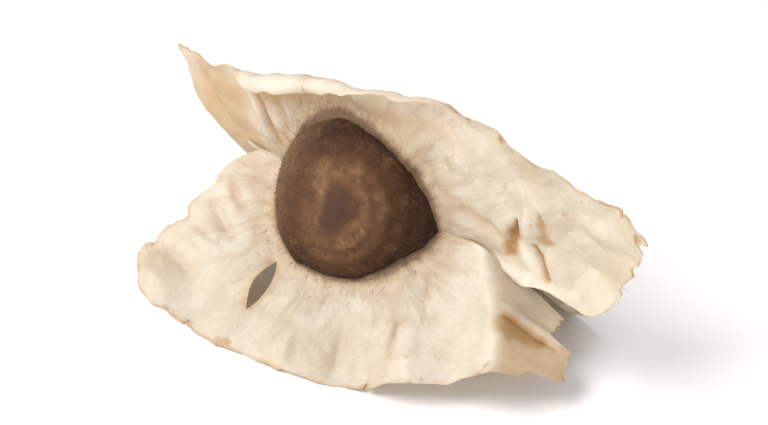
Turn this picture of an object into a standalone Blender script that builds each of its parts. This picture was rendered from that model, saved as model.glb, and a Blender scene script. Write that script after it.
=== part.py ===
"""A winged moringa seed at life size, lying on two of its three papery wings.

The seed's axis runs along X. A brown, slightly three-cornered hull sits in the middle. Three cream
wings leave it a third of a turn apart, run past both of its poles and meet there on the axis.
Units are metres and +Z is up. The origin lies on the surface below the middle of the seed.
"""

import math
import random

import bmesh
import bpy
from mathutils import Vector

MM = 0.001

# The hull, in millimetres
HULL_WIDTH = 9.9
HULL_BLUNT_HALF = 4.8
HULL_POINTED_HALF = 5.1
HULL_CORNER_SHARE = 0.045
HULL_POINT_SHARE = 0.05
HULL_SEGMENTS = 48
HULL_RINGS = 28

# The wings, in millimetres and degrees
AXIS_HEIGHT = 5.6
WING_THICKNESS = 0.6
WING_CLEARANCE = 0.3
WING_COLUMNS = 56
WING_ROWS = 10
WAVE_HEIGHT = 0.3
WAVE_STARTS_AT = 4.5
WAVE_FULL_AT = 9.5
EDGE_WEAR = 0.2
TAIL_WEAR = 0.6
MOST_WEAR = 0.12
END_WEAR = 0.05
ROOT_SINK = 0.25
SEED = 7

# The tear beside the hull in the front wing, as places along the axis and away from it
TEAR_INNER = (-2.4, 5.8)
TEAR_OUTER = (-2.5, 8.5)
TEAR_WIDTH = 0.8
TEAR_SIDES = 16
TEAR_DEPTH = 6.0

FLOOR_SIZE = 60.0
FLOOR_DEPTH = 10.0

HULL_COLOUR = (0.105, 0.052, 0.026, 1.0)
WING_COLOUR = (0.83, 0.73, 0.56, 1.0)

# Each wing is drawn flat, as ribs from its root to its edge. A rib is two points, and a point is
# millimetres along the axis and millimetres away from it.
UPPER_RIBS = (
    ((-13.9, 1.0), (-14.9, 3.1)),
    ((-11.4, -0.2), (-12.3, 3.9)),
    ((-9.0, -1.9), (-9.3, 5.0)),
    ((-6.9, -1.0), (-7.0, 5.9)),
    ((-5.0, -ROOT_SINK), (-4.0, 6.9)),
    ((0.0, -ROOT_SINK), (0.4, 8.1)),
    ((5.0, -ROOT_SINK), (4.7, 8.9)),
    ((8.0, -ROOT_SINK), (8.3, 8.6)),
    ((10.0, -0.8), (11.8, 8.1)),
    ((12.8, -0.1), (15.0, 6.8)),
    ((15.4, -0.5), (17.2, 6.8)),
    ((17.1, 0.9), (18.8, 6.0)),
)
FRONT_RIBS = (
    ((-8.4, 1.6), (-10.6, 8.8)),
    ((-7.0, -ROOT_SINK), (-8.6, 10.7)),
    ((-4.5, -ROOT_SINK), (-4.6, 11.3)),
    ((0.0, -ROOT_SINK), (-0.5, 11.2)),
    ((4.0, -ROOT_SINK), (4.0, 10.6)),
    ((7.6, -ROOT_SINK), (8.5, 8.6)),
    ((9.6, 0.4), (12.3, 6.4)),
    ((11.8, 0.7), (14.3, 5.2)),
    ((13.9, 1.3), (15.8, 4.2)),
)
BACK_RIBS = (
    ((-8.8, 1.0), (-10.6, 4.5)),
    ((-7.0, -ROOT_SINK), (-9.0, 8.2)),
    ((-4.0, -ROOT_SINK), (-5.0, 10.8)),
    ((0.0, -ROOT_SINK), (0.0, 11.6)),
    ((4.0, -ROOT_SINK), (5.0, 11.5)),
    ((8.0, -ROOT_SINK), (9.3, 8.8)),
    ((10.2, 0.6), (12.4, 6.4)),
    ((11.6, 1.6), (13.6, 5.2)),
)
UPPER_ANGLE = 90.0
FRONT_ANGLE = 210.0
BACK_ANGLE = 330.0

# How the wings leave their planes. A fold is a line, and what lies to the left of it bends.
TAIL_FOLD = ((-5.4, -0.3), (-8.9, 4.9))
TAIL_FOLD_SLOPE = 0.3
FLAP_FOLD = ((12.9, 6.6), (9.3, 0.6))
FLAP_FOLD_SLOPE = 0.7
FOLD_SOFTNESS = 0.35
RIDGE_HEIGHT = 0.9
RIDGE_WIDTH = 1.3
SCOOP_START = 9.0
SCOOP_FULL = 12.0
SCOOP_BELOW = 2.5
SCOOP_RATE = 0.1
TWIST = -25.0
TWIST_START = 7.5
TWIST_FULL = 12.5
ROLL_RADIUS = 0.9
ROLL_WIDTH = 1.3
ROLL_FADES_AT = (0.4, 4.0)


def smooth_step(value, start, end):
    """0 before start, 1 past end, and an even slope between."""
    share = min(max((value - start) / (end - start), 0.0), 1.0)
    return share * share * (3.0 - 2.0 * share)


def through(points, place):
    """The point at place, counted in spans, on a smooth curve through points."""
    spans = len(points) - 1
    span = min(int(place), spans - 1)
    t = place - span
    before = points[max(span - 1, 0)]
    first = points[span]
    second = points[span + 1]
    after = points[min(span + 2, spans)]
    return tuple(
        0.5 * (2 * b + (c - a) * t + (2 * a - 5 * b + 4 * c - d) * t ** 2
               + (3 * b - a - 3 * c + d) * t ** 3)
        for a, b, c, d in zip(before, first, second, after)
    )


def past_fold(x, reach, fold):
    """How far a flat place lies to the left of a fold's line."""
    start = Vector(fold[0])
    run = (Vector(fold[1]) - start).normalized()
    return (reach - start.y) * run.x - (x - start.x) * run.y


def soft_positive(value):
    """The value where it is above zero and nothing below, with a rounded corner."""
    return 0.5 * (value + math.hypot(value, FOLD_SOFTNESS))


def bent(width, radius):
    """How far in and how far out of its plane an edge moves, with this width of it rolled."""
    turn = width / radius
    return width - radius * math.sin(turn), radius * (1.0 - math.cos(turn))


class Wing:
    """One wing: its ribs, the angle of its plane round the axis, and how it leaves that plane."""

    def __init__(self, name, ribs, angle, draw):
        self.name = name
        self.roots = [root for root, _ in ribs]
        self.edges = [edge for _, edge in ribs]
        self.middles = [(Vector(root) + Vector(edge)) * 0.5 for root, edge in ribs]
        self.angle = angle
        self.phases = [draw.uniform(0.0, math.tau) for _ in range(3)]
        self.lengths = [draw.uniform(low, low * 1.4) for low in (9.0, 5.0, 3.2)]
        self.wear = [draw.random() for _ in range(WING_COLUMNS + 1)]
        self.end_wear = [[draw.random() for _ in range(WING_ROWS + 1)] for _ in range(2)]

    def rib(self, along):
        """The root and the edge at a share of the wing's length."""
        steps = [(b - a).length for a, b in zip(self.middles, self.middles[1:])]
        left = along * sum(steps)
        span = 0
        while span < len(steps) - 1 and left > steps[span]:
            left -= steps[span]
            span += 1
        place = span + min(left / steps[span], 1.0)
        return Vector(through(self.roots, place)), Vector(through(self.edges, place))

    def flat(self, column, row):
        """The flat place of a grid point, before the wing leaves its plane."""
        along = column / WING_COLUMNS
        across = row / WING_ROWS
        tail = abs(2.0 * along - 1.0)
        worn = self.end_wear[along > 0.5][row] * smooth_step(tail, 0.88, 1.0)
        root, edge = self.rib(0.5 + (along - 0.5) * (1.0 - END_WEAR * worn))
        worn = self.wear[column] * (EDGE_WEAR + (TAIL_WEAR - EDGE_WEAR) * tail ** 3)
        across -= min(worn / (edge - root).length, MOST_WEAR) * across ** 4
        return root.lerp(edge, across)

    def waves(self, x, reach):
        """The height of the membrane's waves at a flat place."""
        growth = smooth_step(reach, WAVE_STARTS_AT, WAVE_FULL_AT)
        growth = max(growth, 0.7 * smooth_step(abs(x), 8.0, 12.0))
        total = 0.0
        for number, (phase, length) in enumerate(zip(self.phases, self.lengths)):
            slant = 0.35 * (number - 1) * reach
            total += math.sin(math.tau * (x + slant) / length + phase) / (1.0 + 0.6 * number)
        return WAVE_HEIGHT * growth * total

    def point(self, column, row):
        """The place of a grid point in space, in metres."""
        x, reach = self.flat(column, row)
        x, reach, out = self.leave_plane(x, reach, column / WING_COLUMNS, row / WING_ROWS)
        out += self.waves(x, reach)
        angle = math.radians(self.angle_at(x))
        y = reach * math.cos(angle) - out * math.sin(angle)
        z = reach * math.sin(angle) + out * math.cos(angle)
        return Vector((x, y, z + AXIS_HEIGHT)) * MM

    def leave_plane(self, x, reach, along, across):
        """The flat place moved by the wing's folds, and its height over the plane."""
        return x, reach, 0.0

    def angle_at(self, x):
        """The angle of the wing's plane at a place along the axis."""
        return self.angle


class UpperWing(Wing):
    """Stands up. Its blunt tail folds back, its top edge rolls over, its long tail is a scoop."""

    def leave_plane(self, x, reach, along, across):
        out = -TAIL_FOLD_SLOPE * soft_positive(past_fold(x, reach, TAIL_FOLD))
        hang = max(SCOOP_BELOW - reach, 0.0)
        out += SCOOP_RATE * hang ** 2 * smooth_step(x, SCOOP_START, SCOOP_FULL)
        root, edge = self.rib(along)
        strength = 1.0 - smooth_step(x, *ROLL_FADES_AT)
        strength *= smooth_step(x, -9.5, -7.5)
        rolled = max(ROLL_WIDTH * strength - (1.0 - across) * (edge - root).length, 0.0)
        inward, lift = bent(rolled, ROLL_RADIUS)
        return x, reach - inward, out + lift


class FrontWing(Wing):
    """Lies on the surface in front. Its end rises to a ridge and then folds down as a flap."""

    def leave_plane(self, x, reach, along, across):
        beyond = past_fold(x, reach, FLAP_FOLD)
        ridge = RIDGE_HEIGHT * math.exp(-((beyond / RIDGE_WIDTH) ** 2))
        return x, reach, FLAP_FOLD_SLOPE * soft_positive(beyond) - ridge


class BackWing(Wing):
    """Lies on the surface behind. Its tail past the pointed pole twists and hangs down."""

    def angle_at(self, x):
        return self.angle + TWIST * smooth_step(x, TWIST_START, TWIST_FULL)


def new_collection(name):
    collection = bpy.data.collections.new(name)
    bpy.context.scene.collection.children.link(collection)
    return collection


def new_material(name, colour, roughness):
    material = bpy.data.materials.new(name)
    material.use_nodes = True
    shader = material.node_tree.nodes["Principled BSDF"]
    shader.inputs["Base Color"].default_value = colour
    shader.inputs["Roughness"].default_value = roughness
    shader.inputs["Metallic"].default_value = 0.0
    material.diffuse_color = colour
    return material


def new_object(name, bm, collection):
    mesh = bpy.data.meshes.new(name)
    bm.to_mesh(mesh)
    bm.free()
    made = bpy.data.objects.new(name, mesh)
    collection.objects.link(made)
    return made


def as_cutter(made):
    made.hide_render = True
    made.display_type = "WIRE"
    return made


def hull_object(name, collection, clearance=0.0):
    """The hull: a sphere shaped to a blunt and a pointed pole, with three soft corners."""
    bm = bmesh.new()
    bmesh.ops.create_uvsphere(
        bm, u_segments=HULL_SEGMENTS, v_segments=HULL_RINGS, radius=1.0
    )
    for vert in bm.verts:
        pole, side, up = vert.co.z, vert.co.x, vert.co.y
        turn = math.atan2(up, side)
        girth = math.hypot(side, up)
        corner = HULL_CORNER_SHARE * math.cos(3.0 * (turn - math.radians(UPPER_ANGLE)))
        radius = 0.5 * HULL_WIDTH * (1.0 + corner * girth ** 2) + clearance
        half = (HULL_POINTED_HALF if pole > 0.0 else HULL_BLUNT_HALF) + clearance
        point = 1.0 + HULL_POINT_SHARE * max(pole, 0.0) ** 8
        narrow = 1.0 - 0.08 * max(pole, 0.0) ** 2
        vert.co = Vector(
            (half * pole * point, radius * side * narrow, radius * up * narrow + AXIS_HEIGHT)
        ) * MM
    bm.normal_update()
    bmesh.ops.recalc_face_normals(bm, faces=bm.faces)
    return new_object(name, bm, collection)


def wing_object(wing, collection):
    """A wing: a grid bent to the membrane's form, split into triangles and thickened."""
    bm = bmesh.new()
    bmesh.ops.create_grid(bm, x_segments=WING_COLUMNS, y_segments=WING_ROWS, size=0.5)
    for vert in bm.verts:
        column = round((vert.co.x + 0.5) * WING_COLUMNS)
        row = round((vert.co.y + 0.5) * WING_ROWS)
        vert.co = wing.point(column, row)
    bmesh.ops.triangulate(bm, faces=bm.faces)
    made = new_object(wing.name, bm, collection)
    solid = made.modifiers.new("thickness", "SOLIDIFY")
    solid.thickness = WING_THICKNESS * MM
    solid.offset = 0.0
    apply_modifiers(made)
    return made


def tear_cutter(wing, collection):
    """A lens-shaped prism that passes through a wing where it is torn."""
    middle = (Vector(TEAR_INNER) + Vector(TEAR_OUTER)) * 0.5
    run = Vector(TEAR_OUTER) - Vector(TEAR_INNER)
    angle = math.radians(wing.angle)
    bm = bmesh.new()
    bmesh.ops.create_cone(
        bm, cap_ends=True, segments=TEAR_SIDES, radius1=1.0, radius2=1.0, depth=TEAR_DEPTH
    )
    for vert in bm.verts:
        length = 0.5 * run.length * vert.co.x
        width = 0.5 * TEAR_WIDTH * vert.co.y * abs(vert.co.y)
        x = middle.x + length * run.x / run.length - width * run.y / run.length
        reach = middle.y + length * run.y / run.length + width * run.x / run.length
        out = vert.co.z
        y = reach * math.cos(angle) - out * math.sin(angle)
        z = reach * math.sin(angle) + out * math.cos(angle)
        vert.co = Vector((x, y, z + AXIS_HEIGHT)) * MM
    bm.normal_update()
    bmesh.ops.recalc_face_normals(bm, faces=bm.faces)
    return as_cutter(new_object("tear_cutter", bm, collection))


def floor_cutter(collection):
    """A block below the surface that the seed lies on."""
    bm = bmesh.new()
    bmesh.ops.create_cube(bm, size=1.0)
    for vert in bm.verts:
        vert.co.x *= FLOOR_SIZE * MM
        vert.co.y *= FLOOR_SIZE * MM
        vert.co.z = (vert.co.z - 0.5) * FLOOR_DEPTH * MM
    return as_cutter(new_object("floor_cutter", bm, collection))


def apply_modifiers(made):
    """Gives the object its evaluated mesh and clears its modifiers."""
    depsgraph = bpy.context.evaluated_depsgraph_get()
    evaluated = made.evaluated_get(depsgraph)
    mesh = bpy.data.meshes.new_from_object(evaluated, depsgraph=depsgraph)
    made.modifiers.clear()
    old = made.data
    made.data = mesh
    bpy.data.meshes.remove(old)


def cut(made, operation, operand=None, collection=None):
    """Adds an exact Boolean with one object or a whole collection."""
    modifier = made.modifiers.new(operation.lower(), "BOOLEAN")
    modifier.operation = operation
    modifier.solver = "EXACT"
    if collection:
        modifier.operand_type = "COLLECTION"
        modifier.collection = collection
    else:
        modifier.object = operand


def keep_largest(made):
    """Drops the scraps that the cuts leave loose."""
    bm = bmesh.new()
    bm.from_mesh(made.data)
    left = set(bm.verts)
    groups = []
    while left:
        group = set()
        stack = [left.pop()]
        while stack:
            vert = stack.pop()
            group.add(vert)
            for edge in vert.link_edges:
                other = edge.other_vert(vert)
                if other in left:
                    left.discard(other)
                    stack.append(other)
        groups.append(group)
    groups.sort(key=len)
    for group in groups[:-1]:
        bmesh.ops.delete(bm, geom=list(group), context="VERTS")
    bm.to_mesh(made.data)
    bm.free()


def centre_over_origin(objects):
    """Moves the meshes so that the middle of their common box lies over the origin."""
    corners = [vert.co for made in objects for vert in made.data.vertices]
    lows = [min(corner[axis] for corner in corners) for axis in range(2)]
    highs = [max(corner[axis] for corner in corners) for axis in range(2)]
    shift = Vector([-(low + high) / 2.0 for low, high in zip(lows, highs)] + [0.0])
    for made in objects:
        for vert in made.data.vertices:
            vert.co += shift


def main():
    for old in list(bpy.data.objects):
        bpy.data.objects.remove(old, do_unlink=True)
    parts = new_collection("moringa_seed")
    cutters = new_collection("moringa_seed_cutters")
    joined = new_collection("moringa_seed_joined")

    draw = random.Random(SEED)
    upper = UpperWing("wings", UPPER_RIBS, UPPER_ANGLE, draw)
    front = FrontWing("front_wing", FRONT_RIBS, FRONT_ANGLE, draw)
    back = BackWing("back_wing", BACK_RIBS, BACK_ANGLE, draw)

    hull = hull_object("seed_hull", parts)
    wings = wing_object(upper, parts)
    for wing in (front, back):
        wing_object(wing, joined)
    cut(wings, "UNION", collection=joined)
    cut(wings, "DIFFERENCE", as_cutter(hull_object("hull_cutter", cutters, WING_CLEARANCE)))
    cut(wings, "DIFFERENCE", tear_cutter(front, cutters))
    cut(wings, "DIFFERENCE", floor_cutter(cutters))
    apply_modifiers(wings)
    keep_largest(wings)
    for collection in (cutters, joined):
        for spent in list(collection.objects):
            bpy.data.objects.remove(spent, do_unlink=True)
        bpy.data.collections.remove(collection)
    centre_over_origin([hull, wings])

    hull.data.materials.clear()
    hull.data.materials.append(new_material("hull_brown", HULL_COLOUR, 0.72))
    hull.data.shade_smooth()
    wings.data.materials.clear()
    wings.data.materials.append(new_material("wing_cream", WING_COLOUR, 0.6))
    wings.data.shade_smooth()
    wings.data.set_sharp_from_angle(angle=math.radians(40.0))


main()
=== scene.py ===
import math
import random
from functools import partial

import bmesh
import bpy
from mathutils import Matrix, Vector, noise


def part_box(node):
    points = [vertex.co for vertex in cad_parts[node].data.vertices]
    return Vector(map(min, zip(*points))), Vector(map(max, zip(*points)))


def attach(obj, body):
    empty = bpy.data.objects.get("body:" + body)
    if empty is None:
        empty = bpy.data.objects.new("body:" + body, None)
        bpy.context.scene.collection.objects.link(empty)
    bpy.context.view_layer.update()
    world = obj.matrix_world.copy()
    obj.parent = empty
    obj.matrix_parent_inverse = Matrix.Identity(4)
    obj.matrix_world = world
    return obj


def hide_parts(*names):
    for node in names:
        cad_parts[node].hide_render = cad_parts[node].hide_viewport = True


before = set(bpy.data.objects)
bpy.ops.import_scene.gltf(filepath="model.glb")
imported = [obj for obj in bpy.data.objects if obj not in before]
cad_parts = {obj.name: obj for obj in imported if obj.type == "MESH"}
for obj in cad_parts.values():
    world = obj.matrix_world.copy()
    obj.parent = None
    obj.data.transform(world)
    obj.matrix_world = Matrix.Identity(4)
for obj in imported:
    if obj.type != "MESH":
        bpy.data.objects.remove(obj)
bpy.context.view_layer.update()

# A winged moringa seed at life size. A brown, fibrous, slightly three-cornered hull lies between
# three papery wings that meet past its poles. Places on the seed are in millimetres, along the axis
# and away from it, and the meshes are in metres.

MM = 0.001
SMOOTH = {"interpolation_type": "SMOOTHSTEP"}

# The hull, as the solid model has it
HULL_WIDTH = 9.9
HULL_BLUNT_HALF = 4.8
HULL_POINTED_HALF = 5.1
HULL_CORNER_SHARE = 0.045
HULL_POINT_SHARE = 0.05
HULL_NARROWING = 0.08

# The hull's finer form
HULL_FINENESS = 7
RING_CENTRE_X = 1.15
RING_CENTRE_OUT = 5.0
RING_CENTRE_ANGLES = (152.0, 271.0, 29.0)
RING_CENTRE_STRETCH = 0.5
OFF_MIDDLE = (0.5, 1.6)

# The wings, as the solid model has them
AXIS_HEIGHT = 5.6
WEAR_PLACES = 57
END_WEAR_PLACES = 11
WAVE_HEIGHT = 0.3
WAVE_LENGTHS = (9.0, 5.0, 3.2)
WAVES_GROW_AT = (4.5, 9.5)
TAIL_STARTS_AT = 0.7
END_STARTS_AT = 0.88
EDGE_WEAR = 0.2
TAIL_WEAR = 0.6
MOST_WEAR = 0.12
END_WEAR = 0.05
SEED = 7
UPPER_ANGLE = 90.0
FRONT_ANGLE = 210.0
BACK_ANGLE = 330.0
UPPER_RIBS = (
    ((-13.9, 1.0), (-14.9, 3.1)),
    ((-11.4, -0.2), (-12.3, 3.9)),
    ((-9.0, -1.9), (-9.3, 5.0)),
    ((-6.9, -1.0), (-7.0, 5.9)),
    ((-5.0, 0.0), (-4.0, 6.9)),
    ((0.0, 0.0), (0.4, 8.1)),
    ((5.0, 0.0), (4.7, 8.9)),
    ((8.0, 0.0), (8.3, 8.6)),
    ((10.0, -0.8), (11.8, 8.1)),
    ((12.8, -0.1), (15.0, 6.8)),
    ((15.4, -0.5), (17.2, 6.8)),
    ((17.1, 0.9), (18.8, 6.0)),
)
FRONT_RIBS = (
    ((-8.4, 1.6), (-10.6, 8.8)),
    ((-7.0, 0.0), (-8.6, 10.7)),
    ((-4.5, 0.0), (-4.6, 11.3)),
    ((0.0, 0.0), (-0.5, 11.2)),
    ((4.0, 0.0), (4.0, 10.6)),
    ((7.6, 0.0), (8.5, 8.6)),
    ((9.6, 0.4), (12.3, 6.4)),
    ((11.8, 0.7), (14.3, 5.2)),
    ((13.9, 1.3), (15.8, 4.2)),
)
BACK_RIBS = (
    ((-8.8, 1.0), (-10.6, 4.5)),
    ((-7.0, 0.0), (-9.0, 8.2)),
    ((-4.0, 0.0), (-5.0, 10.8)),
    ((0.0, 0.0), (0.0, 11.6)),
    ((4.0, 0.0), (5.0, 11.5)),
    ((8.0, 0.0), (9.3, 8.8)),
    ((10.2, 0.6), (12.4, 6.4)),
    ((11.6, 1.6), (13.6, 5.2)),
)
TAIL_FOLD = ((-5.4, -0.3), (-8.9, 4.9))
TAIL_FOLD_SLOPE = 0.3
FLAP_FOLD = ((12.9, 6.6), (9.3, 0.6))
FLAP_FOLD_SLOPE = 0.7
FOLD_SOFTNESS = 0.35
RIDGE_HEIGHT = 0.9
RIDGE_WIDTH = 1.3
SCOOP_GROWS_AT = (9.0, 12.0)
SCOOP_BELOW = 2.5
SCOOP_RATE = 0.1
TWIST = -25.0
TWIST_GROWS_AT = (7.5, 12.5)

# The rolled edge, which has more turns in it than the solid's bend
ROLL_RADIUS = 0.5
ROLL_WIDTH = 1.75
ROLL_SPARE = 1.15
ROLL_STARTS_AT = (-10.2, -6.6)
ROLL_ENDS_AT = (-3.4, 1.0)
ROLL_GOES_ON = 0.58
ROLL_FADES_AT = (4.0, 8.5)

# The membrane's finer form
COLUMNS = 300
ROWS = 88
FIRST_ROW_STEPS = 120
MEMBRANE = 0.16
MEMBRANE_AT_HULL = 0.75
MEMBRANE_AT_MARGIN = 0.09
FLARE_REACH = 0.28
HULL_OVERLAP = 0.45
LIES_AT = 0.1
SETTLE_SOFTNESS = 0.12
JOINED_UP_TO = (7.5, 9.5)
FREE_FROM = (0.1, 1.4)
CRUMPLES = ((4.6, 0.3), (2.1, 0.1), (0.95, 0.03))
GRAIN_SIZE = 0.32
GRAIN_HEIGHT = 0.01
PUCKER_HEIGHT = 0.12
PUCKER_REACH = 2.2
CURL_HEIGHT = 0.28
CURL_WIDTH = 1.3
CURL_LENGTH = 5.5
NICK_LEVEL = 0.42
NICK_DEPTH = 0.32
FRAY_DEPTH = 0.05
NOTCH_WEAR = 1.7
CREASE_RAGGED = 0.6
FLAP_FOLD_BOW = 0.5
FLAP_FOLD_MIDDLE = 3.4
FLAP_FOLD_HALF = 3.2

# The hull's girth turns angles into lengths, and each wing has its patterns this far apart
RAY_RADIUS = 5.2
PATTERN_STEP = 20.0

# Creases and dents: two ends as (along, away), half width at each, height over the wing's plane,
# and a tint: above zero a brown, mostly painted shade in dents and folds with a few real stains,
# below zero a pale painted highlight on ridges
# In the long tail the browns of the three dents are painted shade, and the pale tints of the ridge
# and triangle between them and of its lower margin are a painted highlight. By the blunt tail's
# fold the pale line is a painted highlight and the brown line beside it is painted shade.
UPPER_CREASES = (
    ((10.25, 3.2), (9.9, 1.0), 0.14, 0.6, -0.45, 0.95),
    ((11.0, 4.4), (11.1, 2.1), 0.28, 0.3, 0.28, -0.5),
    ((11.9, 4.6), (12.1, 2.7), 0.12, 0.5, -0.18, 0.68),
    ((11.4, 1.9), (12.6, 0.4), 0.2, 0.3, -0.36, 0.95),
    ((10.9, 1.3), (11.6, 0.4), 0.3, 0.42, 0.28, -0.6),
    ((8.4, -0.1), (11.3, -0.4), 0.3, 0.38, 0.35, -0.75),
    ((11.3, -0.4), (14.5, -0.1), 0.35, 0.3, 0.3, -0.3),
    ((7.0, 2.4), (9.4, 1.4), 0.45, 0.3, -0.2, 0.25),
    ((14.6, 4.8), (16.8, 4.3), 0.5, 0.5, 0.3, 0.0),
    ((-5.7, 0.5), (-8.7, 4.6), 0.2, 0.24, 0.22, -0.8),
    ((-5.2, 0.6), (-8.1, 4.4), 0.16, 0.2, -0.2, 0.85),
    ((-5.0, 1.8), (-6.2, 4.4), 0.3, 0.3, -0.18, 0.35),
    ((-5.4, 4.6), (3.2, 6.2), 0.7, 0.7, -0.3, 0.1),
    ((-10.9, 1.0), (-12.4, 3.2), 0.4, 0.4, -0.22, 0.2),
)
# Under the flap's ridge, the brown line and the wide brown wedge below the upper facet are a
# painted shadow of that facet, and the pale tint along the facet is a painted highlight.
FRONT_CREASES = (
    ((-7.9, 4.0), (-5.9, 5.2), 0.4, 0.4, 0.35, 0.15),
    ((-7.4, 2.6), (-6.2, 3.4), 0.3, 0.4, 0.3, 0.35),
    ((-8.6, 6.0), (-6.2, 6.5), 0.45, 0.45, -0.35, 0.0),
    ((-8.8, 7.6), (-6.8, 8.1), 0.45, 0.45, 0.3, 0.1),
    ((-3.0, 11.0), (-2.5, 10.9), 0.3, 0.22, -0.1, 0.62),
    ((6.0, 2.6), (6.6, 3.7), 0.2, 0.28, 0.18, 0.3),
    ((6.0, 6.0), (6.4, 7.5), 0.22, 0.3, 0.25, 0.3),
    ((6.9, 6.0), (8.0, 8.0), 0.5, 0.5, -0.3, -0.3),
    ((3.2, 7.8), (3.9, 9.8), 0.4, 0.4, 0.25, 0.1),
    ((0.6, 8.8), (1.0, 10.4), 0.35, 0.35, -0.22, 0.0),
    ((11.2, 2.4), (14.0, 2.5), 0.25, 0.25, -0.35, -0.25),
    ((11.3, 2.95), (13.9, 3.0), 0.18, 0.2, 0.24, 0.3),
    ((11.4, 3.35), (13.1, 3.3), 0.62, 0.42, 0.12, 0.72),
    ((-2.4, 5.9), (-2.5, 8.5), 0.5, 0.5, 0.0, 0.25),
    ((12.4, 5.2), (14.6, 4.6), 0.4, 0.4, -0.2, 0.0),
)
BACK_CREASES = (
    ((-6.4, 3.0), (-8.0, 5.8), 0.4, 0.4, 0.28, 0.2),
    ((-2.0, 6.4), (-2.6, 9.2), 0.45, 0.45, -0.25, 0.0),
    ((3.6, 6.8), (5.0, 9.4), 0.45, 0.45, 0.28, 0.15),
    ((8.6, 2.4), (11.0, 4.0), 0.4, 0.4, -0.32, 0.3),
)

# Slits: share along the wing, shares across it from start to end, opening in millimetres
FRONT_SLITS = (
    (0.175, 0.95, 1.0, 0.25), (0.62, 0.955, 1.0, 0.22), (0.29, 0.49, 0.77, 0.72),
)
UPPER_SLITS = ((0.93, 0.94, 1.0, 0.18),)
BACK_SLITS = ((0.30, 0.90, 1.0, 0.35), (0.70, 0.86, 1.0, 0.4))

# How far beside a slit the membrane still moves, how it fades, and its lift for each millimetre
SLIT_REACH = 4.0
SLIT_SPREAD = 1.3
SLIT_LIFT = 0.3

# The stage: half the floor in metres, the view in degrees, the lens and the frame in millimetres
FLOOR_HALF = 3.0
VIEW_AZIMUTH = 35.0
VIEW_ELEVATION = 40.0
LENS = 180.0
FRAME_WIDTH = 43.4


def smooth_step(value, start, end):
    """0 before start, 1 past end, and an even slope between."""
    share = min(max((value - start) / (end - start), 0.0), 1.0)
    return share * share * (3.0 - 2.0 * share)


def bell(gap, width, power=2):
    """1 in the middle, falling to nothing about two widths away."""
    return math.exp(-((gap / width) ** power))


def through(points, place):
    """The point at place, counted in spans, on a smooth curve through points."""
    spans = len(points) - 1
    span = min(int(place), spans - 1)
    t = place - span
    four = (points[min(max(span + step, 0), spans)] for step in (-1, 0, 1, 2))
    return tuple(
        0.5 * (2 * b + (c - a) * t + (2 * a - 5 * b + 4 * c - d) * t ** 2
               + (3 * b - a - 3 * c + d) * t ** 3)
        for a, b, c, d in zip(*four)
    )


def between(values, share):
    """The value at a share of an evenly spaced list."""
    place = share * (len(values) - 1)
    span = min(int(place), len(values) - 2)
    return values[span] + (values[span + 1] - values[span]) * (place - span)


def past_fold(x, reach, fold):
    """How far a flat place lies to the left of a fold's line."""
    start = Vector(fold[0])
    run = (Vector(fold[1]) - start).normalized()
    return (reach - start.y) * run.x - (x - start.x) * run.y


def soft_positive(value, softness=FOLD_SOFTNESS):
    """The value where it is above zero and nothing below, with a rounded corner."""
    return 0.5 * (value + math.hypot(value, softness))


def bent(width, radius):
    """How far in and how far out of its plane an edge moves, with this width of it rolled."""
    turn = width / radius
    return width - radius * math.sin(turn), radius * (1.0 - math.cos(turn))


def past_hull(x, reach):
    """How far a flat place lies outside the hull's outline in a wing's plane."""
    half = HULL_POINTED_HALF * (1.0 + HULL_POINT_SHARE) if x > 0.0 else HULL_BLUNT_HALF
    girth = 0.5 * HULL_WIDTH * (1.0 + HULL_CORNER_SHARE)
    share = math.hypot(x / half, reach / girth)
    return (share - 1.0) * math.hypot(x, reach) / max(share, 0.05)


def ray_place(x, reach):
    """How far round the hull a flat place lies, in millimetres."""
    return math.atan2(reach, x) * RAY_RADIUS


def creases_at(x, reach, creases):
    """The summed height of the creases at a flat place, and their summed tint: above zero a brown,
    mostly painted shade with a few real stains, below zero a painted highlight.
    """
    here = Vector((x, reach))
    ragged = 1.0 + CREASE_RAGGED * noise.noise(Vector((1.7 * x, 1.7 * reach, 7.0)))
    height, fold_shade_and_stain = 0.0, 0.0
    for start, end, start_width, end_width, rise, tint in creases:
        first = Vector(start)
        run = Vector(end) - first
        share = min(max((here - first).dot(run) / run.length_squared, 0.0), 1.0)
        gap = (here - first - run * share).length
        width = start_width + (end_width - start_width) * share
        height += rise * bell(gap, width) * (1.0 - 0.5 * abs(2.0 * share - 1.0) ** 2)
        fold_shade_and_stain += tint * bell(gap * ragged, width, 3)
    return height, fold_shade_and_stain


def slit_opening(slit, across):
    """The width of a slit at a share across the wing."""
    _, start, end, width = slit
    if across <= start or across > end:
        return 0.0
    share = (across - start) / (end - start)
    return width * (share if end >= 1.0 else math.sin(math.pi * share) ** 0.8)


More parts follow.
